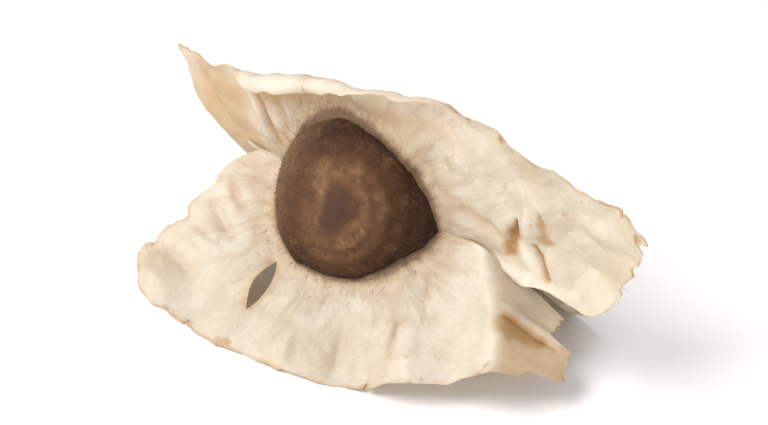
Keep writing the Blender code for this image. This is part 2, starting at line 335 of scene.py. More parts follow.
class Wing:
    """One wing: its ribs, the angle of its plane round the axis, and how it leaves that plane."""

    number = 0
    creases = ()
    slits = ()

    def __init__(self, name, ribs, angle, draw):
        self.name = name
        self.roots = [root for root, _ in ribs]
        self.edges = [edge for _, edge in ribs]
        middles = [(Vector(root) + Vector(edge)) * 0.5 for root, edge in ribs]
        self.steps = [(b - a).length for a, b in zip(middles, middles[1:])]
        self.length = sum(self.steps)
        self.angle = angle
        self.phases = [draw.uniform(0.0, math.tau) for _ in range(3)]
        self.lengths = [draw.uniform(low, low * 1.4) for low in WAVE_LENGTHS]
        self.wear = [draw.random() for _ in range(WEAR_PLACES)]
        self.end_wear = [[draw.random() for _ in range(END_WEAR_PLACES)] for _ in range(2)]

    def rib(self, along):
        """The root and the edge at a share of the wing's length."""
        left = along * self.length
        span = 0
        while span < len(self.steps) - 1 and left > self.steps[span]:
            left -= self.steps[span]
            span += 1
        place = span + min(left / self.steps[span], 1.0)
        return Vector(through(self.roots, place)), Vector(through(self.edges, place))

    def first_row(self, along):
        """The share across the wing at which its visible sheet starts, just inside the hull."""
        root, edge = self.rib(along)
        for step in range(FIRST_ROW_STEPS, -1, -1):
            x, reach = root.lerp(edge, step / FIRST_ROW_STEPS)
            if past_hull(x, reach) < -HULL_OVERLAP:
                return step / FIRST_ROW_STEPS
        return 0.0

    def flat(self, along, across):
        """The flat place at shares along and across the wing, with its margin worn."""
        tail = abs(2.0 * along - 1.0)
        if tail > TAIL_STARTS_AT:
            worn = between(self.end_wear[along > 0.5], across) + self.end_fray(along, across)
            worn *= smooth_step(tail, END_STARTS_AT, 1.0)
            worn += self.end_notch(along, across) * smooth_step(tail, TAIL_STARTS_AT, 1.0)
            root, edge = self.rib(0.5 + (along - 0.5) * (1.0 - END_WEAR * worn))
        else:
            root, edge = self.rib(along)
        length = (edge - root).length
        worn = between(self.wear, along) * (EDGE_WEAR + (TAIL_WEAR - EDGE_WEAR) * tail ** 3)
        across -= min(worn / length, MOST_WEAR) * across ** 4
        fray = self.fray(along, tail) * (1.0 - self.roll_strength(edge.x))
        start = 1.0 - max(3.0 * fray, 0.5) / length
        across -= fray / length * smooth_step(across, start, 1.0)
        return root.lerp(edge, across)

    def end_fray(self, along, across):
        """Finer wear at a wing's ends, in shares of the usual wear."""
        side = Vector((across * 7.0, 3.0 * self.number, 9.0 if along > 0.5 else 2.0))
        return 0.5 * max(noise.noise(side), 0.0) + 0.16 * noise.noise(side * 4.3)

    def end_notch(self, along, across):
        """A torn notch in a wing's end, in shares of the usual wear."""
        return 0.0

    def fray(self, along, tail):
        """How far the margin is frayed inward at a share of the length, in millimetres."""
        place = Vector((along * self.length, 5.0 * self.number, 0.5))
        fine = FRAY_DEPTH * abs(noise.noise(place * 2.3) + 0.5 * noise.noise(place * 5.1))
        nick = max(noise.noise(place * 0.83) - NICK_LEVEL, 0.0) * 3.0
        return fine * (1.0 + 2.0 * tail ** 4) + NICK_DEPTH * min(nick, 1.0)

    def waves(self, x, reach):
        """The height of the membrane's waves at a flat place."""
        growth = smooth_step(reach, *WAVES_GROW_AT)
        growth = max(growth, 0.7 * smooth_step(abs(x), 8.0, 12.0))
        total = 0.0
        for number, (phase, length) in enumerate(zip(self.phases, self.lengths)):
            slant = 0.35 * (number - 1) * reach
            total += math.sin(math.tau * (x + slant) / length + phase) / (1.0 + 0.6 * number)
        return WAVE_HEIGHT * growth * total

    def relief(self, x, reach, margin):
        """The height of crumples, puckers, creases, grain and the margin's curl."""
        place = Vector((x, reach, PATTERN_STEP * self.number))
        hull = past_hull(x, reach)
        calm = smooth_step(hull, -0.3, 1.6)
        total = creases_at(x, reach, self.creases)[0]
        for size, height in CRUMPLES:
            fold = abs(noise.noise(place / size)) * 2.2 - 0.5
            total += height * fold * (0.35 + 0.65 * calm)
        ray = ray_place(x, reach)
        pucker = noise.noise(Vector((ray * 1.15, hull * 0.22, 3.0 + self.number)))
        pucker += 0.5 * noise.noise(Vector((ray * 2.9, hull * 0.3, 8.0 + self.number)))
        total += PUCKER_HEIGHT * pucker * math.exp(-max(hull, 0.0) / PUCKER_REACH)
        total += GRAIN_HEIGHT * noise.noise(place / GRAIN_SIZE)
        curl = 0.25 + noise.noise(Vector((x / CURL_LENGTH, 2.0, 4.0 * self.number)))
        curl *= CURL_HEIGHT * (1.0 - self.roll_strength(x))
        return total + curl * (1.0 - smooth_step(margin, 0.0, CURL_WIDTH)) ** 2

    def roll_strength(self, x):
        """How much of the full roll the outer margin has at a place along the axis."""
        return 0.0

    def leave_plane(self, x, reach, along, across):
        """The flat place moved by the wing's folds, and its height over the plane."""
        return x, reach, 0.0

    def angle_at(self, x):
        """The angle of the wing's plane at a place along the axis."""
        return self.angle

    def painted_shade_at(self, x, reach, margin):
        """How much painted shade, a tan, lies on the membrane at a flat place."""
        return 0.0

    def painted_highlight_at(self, x, reach, margin):
        """How much painted highlight, a pale tint, lies on the membrane at a flat place."""
        return 0.0

    def slits_at(self, column, across, side, margin):
        """How far the slits push and lift a place in the grid, and how near it is to an edge."""
        push, lift, gap = 0.0, 0.0, margin
        for slit in self.slits:
            place = round(slit[0] * COLUMNS)
            away = (column - place) / COLUMNS * self.length
            if abs(away) > SLIT_REACH:
                continue
            turned = side if column == place else math.copysign(1.0, away)
            moved = slit_opening(slit, across) * turned * bell(away, SLIT_SPREAD)
            push += 0.5 * moved
            lift += SLIT_LIFT * moved
            if slit[1] <= across <= slit[2]:
                gap = min(gap, abs(away))
        return push, lift, gap

    def is_slit(self, column, across):
        """Whether a slit opens at a place in the grid, so that it needs a point for each side."""
        return any(
            column == round(slit[0] * COLUMNS) and slit_opening(slit, across) > 0.0
            for slit in self.slits
        )

    def in_space(self, x, reach, along, across, margin, lift):
        """A flat place in space, in millimetres, laid on the surface where it would pass below."""
        joined = 1.0 - smooth_step(abs(x), *JOINED_UP_TO)
        free = 1.0 - joined * (1.0 - smooth_step(reach, *FREE_FROM))
        rise = (self.waves(x, reach) + self.relief(x, reach, margin)) * free + lift
        x, reach, out = self.leave_plane(x, reach, along, across)
        angle = math.radians(self.angle_at(x))
        y = reach * math.cos(angle) - (out + rise) * math.sin(angle)
        z = reach * math.sin(angle) + (out + rise) * math.cos(angle) + AXIS_HEIGHT
        z = LIES_AT + soft_positive(z - LIES_AT, SETTLE_SOFTNESS)
        return Vector((x, y, z))


class UpperWing(Wing):
    """Stands up. Its blunt tail folds back, its top edge is rolled, its long tail is a scoop."""

    number = 0
    creases = UPPER_CREASES
    slits = UPPER_SLITS

    def roll_strength(self, x):
        strength = smooth_step(x, *ROLL_STARTS_AT) * (1.0 - smooth_step(x, *ROLL_FADES_AT))
        return strength * (1.0 - (1.0 - ROLL_GOES_ON) * smooth_step(x, *ROLL_ENDS_AT))

    def leave_plane(self, x, reach, along, across):
        out = -TAIL_FOLD_SLOPE * soft_positive(past_fold(x, reach, TAIL_FOLD))
        hang = max(SCOOP_BELOW - reach, 0.0)
        out += SCOOP_RATE * hang ** 2 * smooth_step(x, *SCOOP_GROWS_AT)
        root, edge = self.rib(along)
        spare = ROLL_SPARE * self.roll_strength(x)
        margin = (1.0 - across) * (edge - root).length + spare * (1.0 - across ** 2)
        rolled = max(ROLL_WIDTH * self.roll_strength(x) - margin, 0.0)
        inward, lift = bent(rolled, ROLL_RADIUS)
        return x, reach + spare * across ** 2 - inward, out + lift

    def painted_shade_at(self, x, reach, margin):
        # Painted shade: a tan band under the rolled edge where it overhangs, and over the blunt
        # tail's facet past its fold
        shade_under_roll = bell(margin - 2.2, 0.8) * self.roll_strength(x)
        tail = smooth_step(past_fold(x, reach, TAIL_FOLD), 0.2, 1.6)
        return 0.8 * shade_under_roll + 0.75 * tail * (1.0 - smooth_step(-x, 11.0, 14.0))

    def painted_highlight_at(self, x, reach, margin):
        # Painted highlight: the rolled edge is whitened where it catches the light
        return 0.7 * self.roll_strength(x) * (1.0 - smooth_step(margin, 0.7, 1.1))


class FrontWing(Wing):
    """Lies on the surface in front. Its end rises to a ridge and then folds down as a flap."""

    number = 1
    creases = FRONT_CREASES
    slits = FRONT_SLITS

    def past_ridge(self, x, reach):
        """How far a flat place lies past the ridge, which bows a little towards the wing's end."""
        bow = FLAP_FOLD_BOW * ((reach - FLAP_FOLD_MIDDLE) / FLAP_FOLD_HALF) ** 2
        return past_fold(x, reach, FLAP_FOLD) + bow

    def leave_plane(self, x, reach, along, across):
        beyond = self.past_ridge(x, reach)
        ridge = RIDGE_HEIGHT * bell(beyond, RIDGE_WIDTH)
        return x, reach, FLAP_FOLD_SLOPE * soft_positive(beyond) - ridge

    def painted_shade_at(self, x, reach, margin):
        # Painted shade: tan over the flap past the ridge, more on its lower facet
        beyond = self.past_ridge(x, reach)
        return smooth_step(beyond, 0.15, 0.7) * (0.35 + 0.3 * smooth_step(reach, 2.5, 2.9))

    def painted_highlight_at(self, x, reach, margin):
        # Painted highlight: a pale line along the ridge's crest
        return 0.4 * bell(self.past_ridge(x, reach) + 0.1, 0.3)

    def end_notch(self, along, across):
        if along < 0.5:
            return 0.0
        notch = smooth_step(across, 0.0, 0.36) * (1.0 - smooth_step(across, 0.36, 0.5))
        return NOTCH_WEAR * notch + 0.8 * smooth_step(across, 0.6, 1.0)


class BackWing(Wing):
    """Lies on the surface behind. Its tail past the pointed pole twists and hangs down."""

    number = 2
    creases = BACK_CREASES
    slits = BACK_SLITS

    def angle_at(self, x):
        return self.angle + TWIST * smooth_step(x, *TWIST_GROWS_AT)


def fill_inputs(node, inputs):
    """Sets a node's inputs to values or links. A node stands for its own first output."""
    for key, value in inputs.items():
        if isinstance(value, bpy.types.Node):
            value = value.outputs[0]
        if isinstance(value, bpy.types.NodeSocket):
            node.id_data.links.new(value, node.inputs[key])
        else:
            node.inputs[key].default_value = value


def add_node(tree, kind, inputs=None, stops=(), **settings):
    """Adds a node with its settings and links. A colour ramp's stop is a place and a colour."""
    made = tree.nodes.new(kind)
    for name, value in settings.items():
        setattr(made, name, value)
    fill_inputs(made, inputs or {})
    for number, (place, colour) in enumerate(stops):
        elements = made.color_ramp.elements
        stop = elements[number] if number < 2 else elements.new(place)
        stop.position = place
        stop.color = colour
    return made


def linear(text):
    """An sRGB hex colour as linear red, green, blue and an alpha of one."""
    shares = [int(text[place:place + 2], 16) / 255.0 for place in (1, 3, 5)]
    values = [v / 12.92 if v <= 0.04045 else ((v + 0.055) / 1.055) ** 2.4 for v in shares]
    return (*values, 1.0)


def new_material(name):
    """A material, a call that adds nodes to it, and its Principled shader."""
    material = bpy.data.materials.new(name)
    material.use_nodes = True
    tree = material.node_tree
    return material, partial(add_node, tree), tree.nodes["Principled BSDF"]


def cover(add, colour, cover_colour, share, strength):
    """Lays a colour over another by a share, times a strength that is a number or a mask."""
    amount = add("ShaderNodeMath", {0: share, 1: strength}, operation="MULTIPLY")
    return add("ShaderNodeMix", {
        0: amount, 6: colour, 7: linear(cover_colour),
    }, data_type="RGBA").outputs[2]


def cover_in_patches(add, colour, patch_colour, place, size, levels, strength, look):
    """Lays patches over a colour, where a noise of that size rises from one level to the other."""
    patch = add("ShaderNodeTexNoise", {"Vector": place, "Scale": 1.0 / size, **look})
    share = add("ShaderNodeMapRange", {
        "Value": patch, "From Min": levels[0], "From Max": levels[1],
    }, **SMOOTH)
    return cover(add, colour, patch_colour, share, strength)


def finish_surface(add, shader, colour, place, grit_size, patterns, strength, depth, roughness):
    """Gives a shader its colour, and a relief and roughness of grit under the weighted patterns."""
    grit = add("ShaderNodeTexNoise", {
        "Vector": place, "Scale": 1.0 / grit_size, "Detail": 3.0, "Roughness": 0.55,
    })
    height = grit
    for pattern, weight in patterns:
        height = add("ShaderNodeMath", {0: pattern, 1: weight, 2: height}, operation="MULTIPLY_ADD")
    bump = add("ShaderNodeBump", {"Height": height, "Strength": strength, "Distance": depth * MM})
    rough = add("ShaderNodeMapRange", {
        "Value": grit, "From Min": 0.3, "From Max": 0.7,
        "To Min": roughness[0], "To Max": roughness[1],
    })
    fill_inputs(shader, {"Base Color": colour, "Roughness": rough, "Normal": bump})
    return bump


def membrane_material():
    """Dry seed membrane, grown as thin parchment: matt cream that lets warm light through.

    Tan fibres run out from the hull, which has stained its foot brown. The margin has dried tan.
    """
    material, add, shader = new_material("dry_parchment_membrane")
    flat, ray, near, tint = (
        add("ShaderNodeAttribute", attribute_name=name).outputs["Vector"]
        for name in ("flat_place", "ray_place", "nearness", "tints")
    )
    from_hull, from_edge = add("ShaderNodeSeparateXYZ", {0: near}).outputs[:2]
    # The fold tints: a brown, mostly painted shade with a few real stains; a tan, painted shade;
    # and a pale painted highlight
    dent_shade_and_stain, painted_fold_shade, painted_highlight = add("ShaderNodeSeparateXYZ", {0: tint}).outputs[:3]

    # Clouds of cream and tan, each with its size in millimetres
    colour = linear("#e5ddcc")
    for cloud_colour, size, detail, levels, strength in (
        ("#dbcfb6", 5.0, 3.0, (0.38, 0.66), 0.9),
        ("#ece6d8", 2.2, 3.0, (0.52, 0.72), 0.5),
        ("#cfbd9b", 1.3, 4.0, (0.58, 0.78), 0.3),
        ("#cbb792", 3.2, 5.0, (0.58, 0.75), 0.4),
    ):
        look = {"Detail": detail, "Roughness": 0.58}
        colour = cover_in_patches(add, colour, cloud_colour, flat, size, levels, strength, look)

    # Fibres about half a millimetre apart, drawn coarse enough to show
    streaks = add("ShaderNodeTexNoise", {
        "Vector": ray, "Scale": 1.0 / 0.55, "Detail": 4.0, "Roughness": 0.6, "Distortion": 0.3,
    })
    fibre = add("ShaderNodeMapRange", {
        "Value": streaks, "From Min": 0.5, "From Max": 0.66,
    }, **SMOOTH)
    fades = add("ShaderNodeMapRange", {
        "Value": from_hull, "From Max": 8.0, "To Min": 0.5, "To Max": 0.1,
    }, **SMOOTH)
    colour = cover(add, colour, "#bfa67e", fibre, fades)

    # A net of fine wrinkles, with meshes of 0.7 mm
    warp = add("ShaderNodeTexNoise", {"Vector": flat, "Scale": 1.0 / 0.6, "Detail": 2.0})
    net_place = add("ShaderNodeVectorMath", {
        0: warp.outputs["Color"], 1: (0.5, 0.5, 0.5), 2: flat,
    }, operation="MULTIPLY_ADD")
    net = add("ShaderNodeTexVoronoi", {
        "Vector": net_place, "Scale": 1.0 / 0.7,
    }, feature="DISTANCE_TO_EDGE")
    wrinkle = add("ShaderNodeMapRange", {
        "Value": net, "From Max": 0.16, "To Min": 1.0, "To Max": 0.0,
    }, **SMOOTH)
    colour = cover(add, colour, "#c4ad86", wrinkle, 0.1)

    # Folds: painted shade in tan where the membrane is folded over and under its rolled edge, a
    # brown in its dents, mostly painted shade with a few real stains, and a pale painted highlight
    # on ridges
    deep_shade_and_stain = add("ShaderNodeMath", {0: dent_shade_and_stain, 1: 3.0}, operation="POWER")
    for amount, strength, fold_light_and_stain_colour in (
        (painted_fold_shade, 0.85, "#d2b07a"), (dent_shade_and_stain, 0.95, "#c99c58"), (deep_shade_and_stain, 0.42, "#7a5123"),
        (painted_highlight, 0.8, "#f4eee1"),
    ):
        colour = cover(add, colour, fold_light_and_stain_colour, amount, strength)

    # Small tan flecks
    look = {"Detail": 3.0, "Roughness": 0.6}
    colour = cover_in_patches(add, colour, "#c9a67a", flat, 0.8, (0.62, 0.74), 0.5, look)

    # The margin has dried to a thin tan line with a few brown spots
    worn_rim = add("ShaderNodeTexNoise", {"Vector": flat, "Scale": 1.0 / 1.9, "Detail": 3.0})
    rim_strength = add("ShaderNodeMapRange", {
        "Value": worn_rim, "From Min": 0.38, "From Max": 0.7, "To Min": 0.05, "To Max": 0.75,
    }, **SMOOTH)
    # The tan margin line is left off where the painted highlight lies
    outside_highlight = add("ShaderNodeMath", {0: 1.0, 1: painted_highlight}, operation="SUBTRACT")
    rim_strength = add("ShaderNodeMath", {0: rim_strength, 1: outside_highlight}, operation="MULTIPLY")
    rim = add("ShaderNodeMapRange", {
        "Value": from_edge, "From Min": 0.32, "From Max": 0.0,
    }, **SMOOTH)
    colour = cover(add, colour, "#cfa673", rim, rim_strength)
    by_edge = add("ShaderNodeMapRange", {
        "Value": from_edge, "From Min": 1.2, "From Max": 0.1, "To Max": 0.8,
    }, **SMOOTH)
    look = {"Detail": 2.0}
    colour = cover_in_patches(add, colour, "#ab7a45", flat, 1.25, (0.62, 0.76), by_edge, look)

    # The hull's stain creeps out along the fibres, some of them farther than others
    running = add("ShaderNodeTexNoise", {
        "Vector": ray, "Scale": 1.0 / 1.3, "Detail": 4.0, "Roughness": 0.6,
    })
    spread = add("ShaderNodeMapRange", {
        "Value": running, "From Min": 0.3, "From Max": 0.72, "To Min": 0.45, "To Max": 1.9,
    }, **SMOOTH)
    creep = add("ShaderNodeMath", {0: from_hull, 1: spread}, operation="DIVIDE")
    stain = add("ShaderNodeMapRange", {"Value": creep, "From Min": 0.9, "From Max": 0.1}, **SMOOTH)
    for stain_colour, reach, full_at, strength in (
        ("#c6ad8b", 2.1, 0.3, 0.7), ("#a38563", 0.62, 0.08, 0.8), ("#6a4e35", 0.22, 0.0, 0.85),
    ):
        share = add("ShaderNodeMapRange", {
            "Value": creep, "From Min": reach, "From Max": full_at,
        }, **SMOOTH)
        colour = cover(add, colour, stain_colour, share, strength)

    patterns = ((streaks, 1.4), (wrinkle, 0.45))
    bump = finish_surface(add, shader, colour, flat, 0.22, patterns, 0.4, 0.03, (0.46, 0.64))

    # Light that has passed through the membrane is a little warmer than what it reflects
    warm = add("ShaderNodeMix", {
        0: 1.0, 6: colour, 7: linear("#fff5e0"),
    }, data_type="RGBA", blend_type="MULTIPLY").outputs[2]
    glow = add("ShaderNodeBsdfTranslucent", {"Color": warm, "Normal": bump})
    lets_through = add("ShaderNodeMapRange", {"Value": stain, "To Min": 0.36, "To Max": 0.05})
    both = add("ShaderNodeMixShader", {0: lets_through, 1: shader, 2: glow})
    fill_inputs(material.node_tree.nodes["Material Output"], {"Surface": both})
    return material


def husk_material():
    """Seed husk, grown as a felted woody skin: dark brown, quite matt, with paler soft rings."""
    material, add, shader = new_material("felted_woody_husk")
    where = add("ShaderNodeTexCoord").outputs["Object"]
    ring = add("ShaderNodeAttribute", attribute_name="ring").outputs["Fac"]
    nap = add("ShaderNodeAttribute", attribute_name="nap_place").outputs["Vector"]
    warp = add("ShaderNodeTexNoise", {
        "Vector": where, "Scale": 1.0 / (2.1 * MM), "Detail": 4.0, "Roughness": 0.6,
    })
    pushed = add("ShaderNodeMath", {0: warp, 1: 2.6, 2: ring}, operation="MULTIPLY_ADD")
    share = add("ShaderNodeMapRange", {"Value": pushed, "From Min": 1.3, "From Max": 6.6})
    # The ramp darkens outwards towards the wing roots and poles: partly the husk's own dark rims,
    # partly painted shade where the wings meet the hull
    colour = add("ShaderNodeValToRGB", {0: share}, stops=[
        (place, linear(text)) for place, text in (
            (0.0, "#4b342b"), (1.0, "#35231a"), (0.14, "#4e362a"), (0.23, "#65472f"),
            (0.31, "#6c4d34"), (0.40, "#5f432d"), (0.50, "#5c402b"), (0.60, "#523825"),
            (0.71, "#482f1f"), (0.84, "#3d281b"),
        )
    ])

    # The blunt end, on the lit side, is paler and greyer: painted light, a sheen on the nap
    along = add("ShaderNodeSeparateXYZ", {0: where})
    painted_end_sheen = add("ShaderNodeMapRange", {
        "Value": along, "From Min": -3.0 * MM, "From Max": -6.6 * MM,
    }, **SMOOTH)
    colour = cover(add, colour, "#836448", painted_end_sheen, 0.8)

    # Felted fibres run out from each ring's middle, but not across it
    threads = add("ShaderNodeTexNoise", {
        "Vector": nap, "Scale": 1.0 / 0.45, "Detail": 5.0, "Roughness": 0.65, "Distortion": 0.4,
    })
    off_middle = add("ShaderNodeMapRange", {
        "Value": ring, "From Min": OFF_MIDDLE[0], "From Max": OFF_MIDDLE[1],
    }, **SMOOTH)
    for thread_colour, low, high, strength in (
        ("#8c6a49", 0.54, 0.76, 0.35), ("#2f1e14", 0.46, 0.26, 0.4),
    ):
        share = add("ShaderNodeMapRange", {
            "Value": threads, "From Min": low, "From Max": high, "To Max": strength,
        }, **SMOOTH)
        colour = cover(add, colour, thread_colour, share, off_middle)

    # Worn patches, one to two millimetres and a quarter of one across, the palest round the middles
    outside = add("ShaderNodeMapRange", {
        "Value": ring, "From Min": 3.8, "From Max": 2.4, "To Max": 0.62,
    }, **SMOOTH)
    inside = add("ShaderNodeMapRange", {"Value": ring, "From Min": 0.9, "From Max": 1.4}, **SMOOTH)
    by_middle = add("ShaderNodeMath", {0: outside, 1: inside}, operation="MULTIPLY")
    look = {"Detail": 4.0, "Roughness": 0.6}
    for patch_colour, size, levels, strength in (
        ("#593d2b", 1.0, (0.48, 0.68), 0.5), ("#93704d", 1.7, (0.5, 0.7), by_middle),
        ("#3b261a", 1.3, (0.46, 0.28), 0.5), ("#7b5d42", 0.25, (0.6, 0.75), 0.3),
    ):
        size *= MM
        colour = cover_in_patches(add, colour, patch_colour, where, size, levels, strength, look)

    felt = add("ShaderNodeMath", {0: threads, 1: off_middle}, operation="MULTIPLY")
    finish_surface(add, shader, colour, where, 0.13 * MM, ((felt, 1.6),), 0.6, 0.05, (0.78, 0.92))
    fill_inputs(shader, {"Specular IOR Level": 0.15})
    return material


def fibre_material(name, dark, pale):
    """Loose plant fibre, dried and frayed: dull, each thread its own shade between two browns."""
    material, add, shader = new_material(name)
    shade = add("ShaderNodeAttribute", attribute_name="thread_shade").outputs["Fac"]
    where = add("ShaderNodeTexCoord").outputs["Object"]
    uneven = add("ShaderNodeTexNoise", {"Vector": where, "Scale": 1.0 / (0.4 * MM), "Detail": 2.0})
    mixed = add("ShaderNodeMath", {0: uneven, 1: 0.6, 2: shade}, operation="MULTIPLY_ADD")
    share = add("ShaderNodeMapRange", {"Value": mixed, "From Min": 0.2, "From Max": 1.4})
    colour = add("ShaderNodeMix", {
        0: share, 6: linear(dark), 7: linear(pale),
    }, data_type="RGBA").outputs[2]
    fill_inputs(shader, {"Base Color": colour, "Roughness": 0.8})
    return material


def new_object(name, data):
    """A new object in the scene."""
    made = bpy.data.objects.new(name, data)
    bpy.context.scene.collection.objects.link(made)
    return made


def new_piece(name, verts, faces):
    """A new object made of points and faces."""
    mesh = bpy.data.meshes.new(name)
    mesh.from_pydata(verts, [], faces)
    return new_object(name, mesh)


def put_up(name, data, place, aim):
    """A light or a camera at one place, turned towards another."""
    made = new_object(name, data)
    made.location = place
    made.rotation_mode = "QUATERNION"
    made.rotation_quaternion = (aim - place).to_track_quat("-Z", "Y")
    return made


def keep_values(mesh, kind, **values_by_name):
    """Stores values of one kind on a mesh, one a vertex, under their names."""
    for name, values in values_by_name.items():
        attribute = mesh.attributes.new(name, kind, "POINT")
        if kind == "FLOAT_VECTOR":
            attribute.data.foreach_set("vector", [part for value in values for part in value])
        else:
            attribute.data.foreach_set("value", values)


def apply_modifiers(made):
    """Gives the object its evaluated mesh and clears its modifiers."""
    depsgraph = bpy.context.evaluated_depsgraph_get()
    mesh = bpy.data.meshes.new_from_object(made.evaluated_get(depsgraph), depsgraph=depsgraph)
    made.modifiers.clear()
    old = made.data
    made.data = mesh
    bpy.data.meshes.remove(old)


def membrane_thickness(hull, gap):
    """The membrane's thickness, from the distances to the hull and to the nearest margin."""
    thick = MEMBRANE_AT_MARGIN + (MEMBRANE - MEMBRANE_AT_MARGIN) * smooth_step(gap, 0, 1)
    return thick + (MEMBRANE_AT_HULL - thick) * math.exp(-max(hull, 0.0) / FLARE_REACH)


def wing_piece(wing, shift, material):
    """A wing: a fine grid bent to the membrane's form, slit where it is torn, and thickened."""
    starts = [wing.first_row(column / COLUMNS) for column in range(COLUMNS + 1)]
    points, flats, rays, nears, tints = [], [], [], [], []
    aways, weights, roots, torn = [], [], [], []
    index = {}
    for column in range(COLUMNS + 1):
        along = column / COLUMNS
        near_starts = starts[max(column - 2, 0):column + 3]
        first = sum(near_starts) / len(near_starts)
        root, edge = wing.rib(along)
        length = (edge - root).length
        run = (edge - root).normalized()
        over = Vector((run.y, -run.x))
        end_gap = 0.5 * (1.0 - abs(2.0 * along - 1.0)) * wing.length
        for row in range(ROWS + 1):
            across = first + (1.0 - first) * row / ROWS
            flat = wing.flat(along, across)
            margin = min((1.0 - across) * length, end_gap)
            for side in (-1, 1):
                if side == 1 and not wing.is_slit(column, across):
                    index[column, row, 1] = index[column, row, -1]
                    continue
                push, lift, gap = wing.slits_at(column, across, side, margin)
                x, reach = flat + over * push
                here = wing.in_space(x, reach, along, across, margin, lift) + shift
                hull = past_hull(x, reach)
                index[column, row, side] = len(points)
                points.append(here * MM)
                centre = Vector((max(min(x, 3.0), -3.0), 0.0, AXIS_HEIGHT)) + shift
                aways.append((here - centre).normalized())
                flats.append((x, reach, PATTERN_STEP * wing.number))
                rays.append((ray_place(x, reach), hull * 0.16, PATTERN_STEP * wing.number))
                nears.append((max(hull, 0.0), gap, 0.0))
                # The creases' browns are mostly painted shade with a few real stains; their pale
                # tints and each wing's own are a painted highlight, and the tan is painted shade.
                fold_shade_and_stain = creases_at(x, reach, wing.creases)[1]
                painted_highlight = max(-fold_shade_and_stain, 0.0) + wing.painted_highlight_at(x, reach, margin)
                painted_tan_shade = wing.painted_shade_at(x, reach, margin)
                tints.append([min(value, 1.0) for value in (max(fold_shade_and_stain, 0.0), painted_tan_shade, painted_highlight)])
                weights.append(membrane_thickness(hull, gap) / MEMBRANE_AT_HULL)
                roots.append(math.exp(-max(hull, 0.0) / 0.4) if -0.2 < hull < 1.6 else 0.0)
                torn.append(smooth_step(-gap, -0.18, -0.02) * (gap < margin or margin == end_gap))
    made = new_piece(wing.name, points, [
        (index[column, row, 1], index[column + 1, row, -1],
         index[column + 1, row + 1, -1], index[column, row + 1, 1])
        for column in range(COLUMNS) for row in range(ROWS)
    ])
    keep_values(
        made.data, "FLOAT_VECTOR",
        flat_place=flats, ray_place=rays, nearness=nears, tints=tints, away=aways,
    )
    keep_values(made.data, "FLOAT", rooted=roots, torn=torn)
    group = made.vertex_groups.new(name="thickness")
    for number, weight in enumerate(weights):
        group.add([number], weight, "REPLACE")
    solid = made.modifiers.new("thickness", "SOLIDIFY")
    solid.thickness = MEMBRANE_AT_HULL * MM
    solid.offset = 0.0
    solid.vertex_group = group.name
    apply_modifiers(made)
    made.vertex_groups.clear()
    made.data.materials.append(material)
    made.data.shade_smooth()
    made.data.set_sharp_from_angle(angle=math.radians(55.0))
    return made


def set_inputs(modifier, tree, values):
    """Sets a Geometry Nodes modifier's inputs by their sockets' identifiers."""
    for item in tree.interface.items_tree:
        if item.item_type == "SOCKET" and item.in_out == "INPUT" and item.name in values:
            modifier[item.identifier] = values[item.name]


def new_tree(name, **labels_by_kind):
    """A Geometry Nodes tree, a call that adds nodes to it, and its named inputs."""
    tree = bpy.data.node_groups.new(name, "GeometryNodeTree")
    tree.interface.new_socket("Geometry", in_out="INPUT", socket_type="NodeSocketGeometry")
    tree.interface.new_socket("Geometry", in_out="OUTPUT", socket_type="NodeSocketGeometry")
    for kind, labels in labels_by_kind.items():
        for label in labels:
            tree.interface.new_socket(label, in_out="INPUT", socket_type=f"NodeSocket{kind}")
    return tree, partial(add_node, tree), add_node(tree, "NodeGroupInput").outputs


def close_tree(add, geometry, material):
    """Ends a tree: makes its instances real, sets their material and gives them out."""
    real = add("GeometryNodeRealizeInstances", {0: geometry})
    clad = add("GeometryNodeSetMaterial", {0: real, "Material": material})
    add("NodeGroupOutput", {0: clad})


def husk_relief_tree():
    """Raises the husk's lumps, its soft rings and its felted nap along the surface's normal."""
    tree, add, given = new_tree("husk_relief", Float=(
        "Lump Size", "Lump Height", "Ring Spacing", "Ring Height", "Nap Size", "Nap Height",
    ), Material=("Husk",))
    place = add("GeometryNodeInputPosition")
    ring, nap = (
        add("GeometryNodeInputNamedAttribute", {"Name": name}, data_type=kind)
        for name, kind in (("ring", "FLOAT"), ("nap_place", "FLOAT_VECTOR"))
    )
    lump_scale, nap_scale = (
        add("ShaderNodeMath", {0: 1.0, 1: given[label]}, operation="DIVIDE")
        for label in ("Lump Size", "Nap Size")
    )
    lumps = add("ShaderNodeTexNoise", {"Vector": place, "Scale": lump_scale, "Detail": 3.0})
    threads = add("ShaderNodeTexNoise", {
        "Vector": nap, "Scale": nap_scale, "Detail": 5.0, "Roughness": 0.6, "Distortion": 0.4,
    })

    # The rings are waves in the distance to a ring's middle, pushed about by the lumps
    turn = add("ShaderNodeMath", {0: ring, 1: math.tau}, operation="MULTIPLY")
    turn = add("ShaderNodeMath", {0: turn, 1: given["Ring Spacing"]}, operation="DIVIDE")
    turn = add("ShaderNodeMath", {0: lumps, 1: 6.0, 2: turn}, operation="MULTIPLY_ADD")
    wave = add("ShaderNodeMath", {0: turn}, operation="SINE")
    uneven = add("ShaderNodeMath", {0: lumps, 1: 0.5}, operation="SUBTRACT")
    felt = add("ShaderNodeMath", {0: threads, 1: 0.5}, operation="SUBTRACT")
    off_middle = add("ShaderNodeMapRange", {
        "Value": ring, "From Min": OFF_MIDDLE[0], "From Max": OFF_MIDDLE[1],
    }, **SMOOTH)
    felt = add("ShaderNodeMath", {0: felt, 1: off_middle}, operation="MULTIPLY")
    height = 0.0
    for pattern, label in ((uneven, "Lump Height"), (wave, "Ring Height"), (felt, "Nap Height")):
        height = add("ShaderNodeMath", {
            0: pattern, 1: given[label], 2: height,
        }, operation="MULTIPLY_ADD")

    facing = add("GeometryNodeInputNormal")
    offset = add("ShaderNodeVectorMath", {0: facing, "Scale": height}, operation="SCALE")
    moved = add("GeometryNodeSetPosition", {0: given["Geometry"], "Offset": offset})
    close_tree(add, moved, given["Husk"])
    return tree


